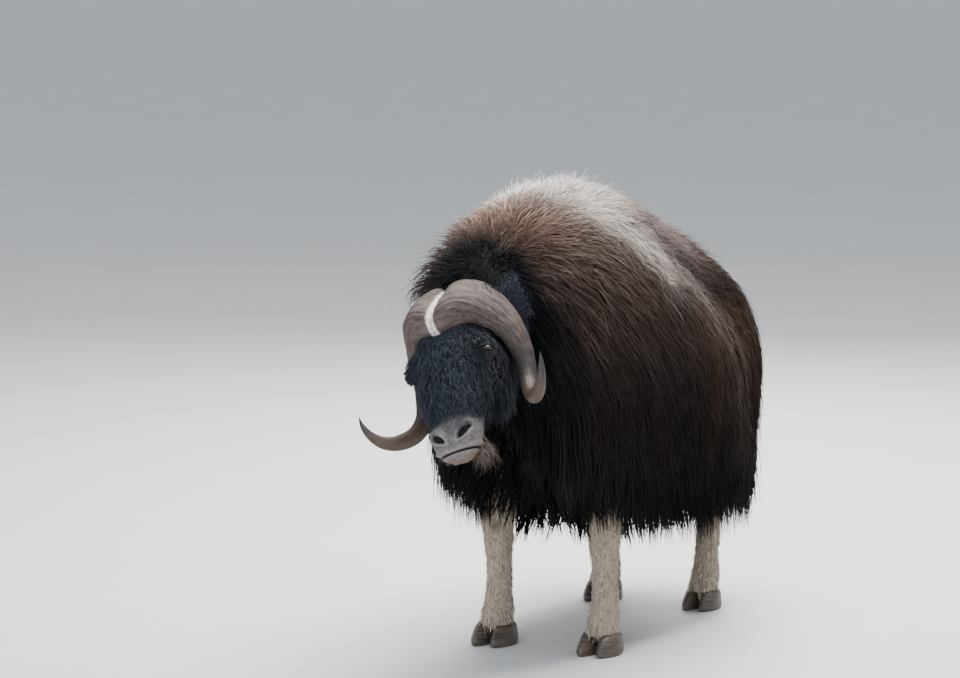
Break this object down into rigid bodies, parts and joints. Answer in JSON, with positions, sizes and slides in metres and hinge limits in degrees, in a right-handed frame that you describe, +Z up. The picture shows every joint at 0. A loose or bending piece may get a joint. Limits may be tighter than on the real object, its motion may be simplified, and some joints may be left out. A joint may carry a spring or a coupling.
{
  "type": "muskox",
  "caption": "A life-size bull muskox standing still with its head lowered and turned, its long shaggy coat hanging in locks to a skirt over pale legs.",
  "frame": {"origin": "on the ground, under the middle of the whole animal", "axes": "+X to the animal's left, +Y to its rear, +Z up; the head is towards -Y"},
  "size_m": [0.7848, 1.979, 1.4034],
  "materials": {
    "coat": "long matt brown hair",
    "face": "short near-black fur",
    "leg": "short pale fur",
    "horn": "fibrous grey-brown horn, satin towards a black tip",
    "claw": "dark satin horn",
    "eye": "wet gloss"
  },
  "bodies": {
    "root": {"horn_right": "horn", "ear_right": "face", "eye_right": "eye", "horn_left": "horn", "ear_left": "face", "eye_left": "eye", "head": "face", "leg_front_right": "leg", "claw_front_right_inner": "claw", "claw_front_right_outer": "claw", "leg_front_left": "leg", "claw_front_left_inner": "claw", "claw_front_left_outer": "claw", "leg_hind_right": "leg", "claw_hind_right_inner": "claw", "claw_hind_right_outer": "claw", "leg_hind_left": "leg", "claw_hind_left_inner": "claw", "claw_hind_left_outer": "claw", "tail": "coat", "neck": "coat", "torso": "coat"}
  },
  "joints": []
}
